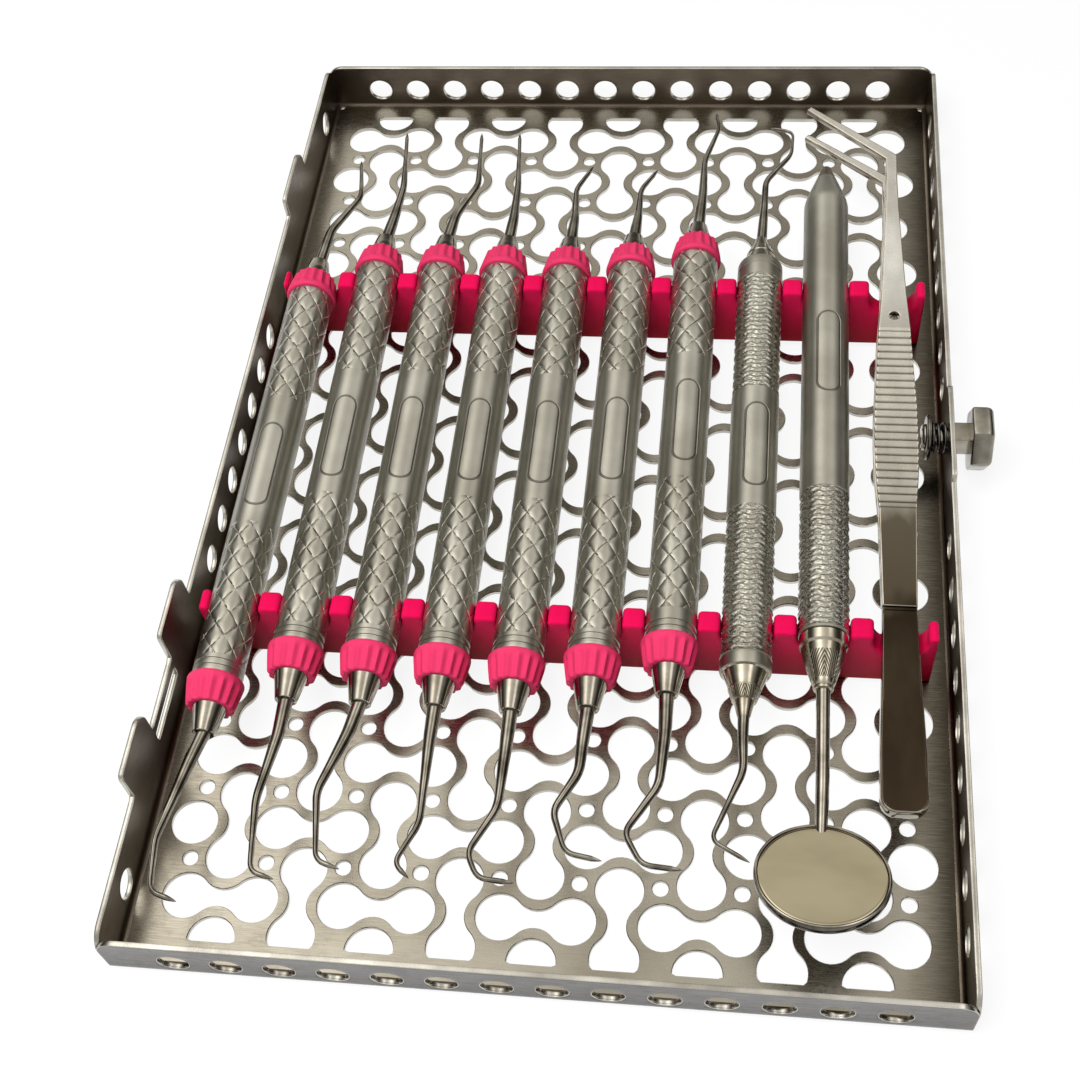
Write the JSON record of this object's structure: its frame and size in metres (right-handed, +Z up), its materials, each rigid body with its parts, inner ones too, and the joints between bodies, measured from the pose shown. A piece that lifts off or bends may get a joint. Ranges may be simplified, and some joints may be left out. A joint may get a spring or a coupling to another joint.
{
  "type": "dental instrument cassette",
  "caption": "Perforated steel tray with folded walls, two silicone racks and a spring latch, holding double-ended hand instruments, a mouth mirror and tweezers.",
  "frame": {"origin": "centre of the tray's underside, the face it rests on", "axes": "+X to the latch wall, +Y along the instruments to the rear wall, +Z up, away from the surface that the tray rests on"},
  "size_m": [0.1437, 0.211, 0.0183],
  "materials": {
    "tray_steel": "satin stainless sheet, warm grey",
    "rack_silicone": "soft matt pink silicone",
    "ring_silicone": "soft matt pink silicone, fluted",
    "handle_steel": "satin stainless, knurled at both ends",
    "bright_steel": "polished stainless",
    "tweezer_steel": "satin stainless with cross grooves",
    "spring_steel": "bright spring wire",
    "mirror_glass": "front-surface mirror"
  },
  "bodies": {
    "tray": {"tray_floor": "tray_steel", "wall_front": "tray_steel", "wall_back": "tray_steel", "wall_left": "tray_steel", "wall_right": "tray_steel", "rack_front": "rack_silicone", "rack_back": "rack_silicone"},
    "latch_slider": {"latch_washer": "bright_steel", "latch_spring": "spring_steel"},
    "latch_turner": {"latch_shaft": "bright_steel", "latch_knob": "bright_steel"},
    "scaler_1": {"scaler_1_handle": "handle_steel", "scaler_1_rings": "ring_silicone", "scaler_1_tip_front": "bright_steel", "scaler_1_tip_rear": "bright_steel"},
    "scaler_2": {"scaler_2_handle": "handle_steel", "scaler_2_rings": "ring_silicone", "scaler_2_tip_front": "bright_steel", "scaler_2_tip_rear": "bright_steel"},
    "scaler_3": {"scaler_3_handle": "handle_steel", "scaler_3_rings": "ring_silicone", "scaler_3_tip_front": "bright_steel", "scaler_3_tip_rear": "bright_steel"},
    "scaler_4": {"scaler_4_handle": "handle_steel", "scaler_4_rings": "ring_silicone", "scaler_4_tip_front": "bright_steel", "scaler_4_tip_rear": "bright_steel"},
    "scaler_5": {"scaler_5_handle": "handle_steel", "scaler_5_rings": "ring_silicone", "scaler_5_tip_front": "bright_steel", "scaler_5_tip_rear": "bright_steel"},
    "scaler_6": {"scaler_6_handle": "handle_steel", "scaler_6_rings": "ring_silicone", "scaler_6_tip_front": "bright_steel", "scaler_6_tip_rear": "bright_steel"},
    "scaler_7": {"scaler_7_handle": "handle_steel", "scaler_7_rings": "ring_silicone", "scaler_7_tip_front": "bright_steel", "scaler_7_tip_rear": "bright_steel"},
    "explorer": {"explorer_handle": "handle_steel", "explorer_tip_front": "bright_steel", "explorer_tip_rear": "bright_steel"},
    "mirror": {"mirror_handle": "handle_steel", "mirror_socket": "bright_steel", "mirror_stem": "bright_steel", "mirror_cup": "bright_steel", "mirror_glass": "mirror_glass"},
    "tweezers": {"tweezer_lower_arm": "tweezer_steel", "tweezer_guide_pin": "tweezer_steel"},
    "tweezer_spring_arm": {"tweezer_upper_arm": "tweezer_steel"}
  },
  "joints": [
    {"name": "lift_scaler_1", "type": "slide", "parent": "tray", "child": "scaler_1", "axis": [0, 0, 1], "range_m": [0, 0.04]},
    {"name": "lift_scaler_2", "type": "slide", "parent": "tray", "child": "scaler_2", "axis": [0, 0, 1], "range_m": [0, 0.04]},
    {"name": "lift_scaler_3", "type": "slide", "parent": "tray", "child": "scaler_3", "axis": [0, 0, 1], "range_m": [0, 0.04]},
    {"name": "lift_scaler_4", "type": "slide", "parent": "tray", "child": "scaler_4", "axis": [0, 0, 1], "range_m": [0, 0.04]},
    {"name": "lift_scaler_5", "type": "slide", "parent": "tray", "child": "scaler_5", "axis": [0, 0, 1], "range_m": [0, 0.04]},
    {"name": "lift_scaler_6", "type": "slide", "parent": "tray", "child": "scaler_6", "axis": [0, 0, 1], "range_m": [0, 0.04]},
    {"name": "lift_scaler_7", "type": "slide", "parent": "tray", "child": "scaler_7", "axis": [0, 0, 1], "range_m": [0, 0.04]},
    {"name": "lift_explorer", "type": "slide", "parent": "tray", "child": "explorer", "axis": [0, 0, 1], "range_m": [0, 0.04]},
    {"name": "lift_mirror", "type": "slide", "parent": "tray", "child": "mirror", "axis": [0, 0, 1], "range_m": [0, 0.04]},
    {"name": "lift_tweezers", "type": "slide", "parent": "tray", "child": "tweezers", "axis": [0, 0, 1], "range_m": [0, 0.04]},
    {"name": "tweezer_squeeze", "type": "hinge", "parent": "tweezers", "child": "tweezer_spring_arm", "pos_m": [0.0576, -0.03699, 0.0117], "axis": [-1, 0, 0], "range_deg": [0, 2.5], "stiffness_Nm_per_rad": 3},
    {"name": "latch_pull", "type": "slide", "parent": "tray", "child": "latch_slider", "axis": [1, 0, 0], "range_m": [0, 0.002], "stiffness_N_per_m": 800, "springref_m": -0.003, "deforming": ["latch_spring"]},
    {"name": "latch_turn", "type": "hinge", "parent": "latch_slider", "child": "latch_turner", "pos_m": [0.0684, 0.0032, 0.0087], "axis": [1, 0, 0], "range_deg": [0, 90]}
  ]
}
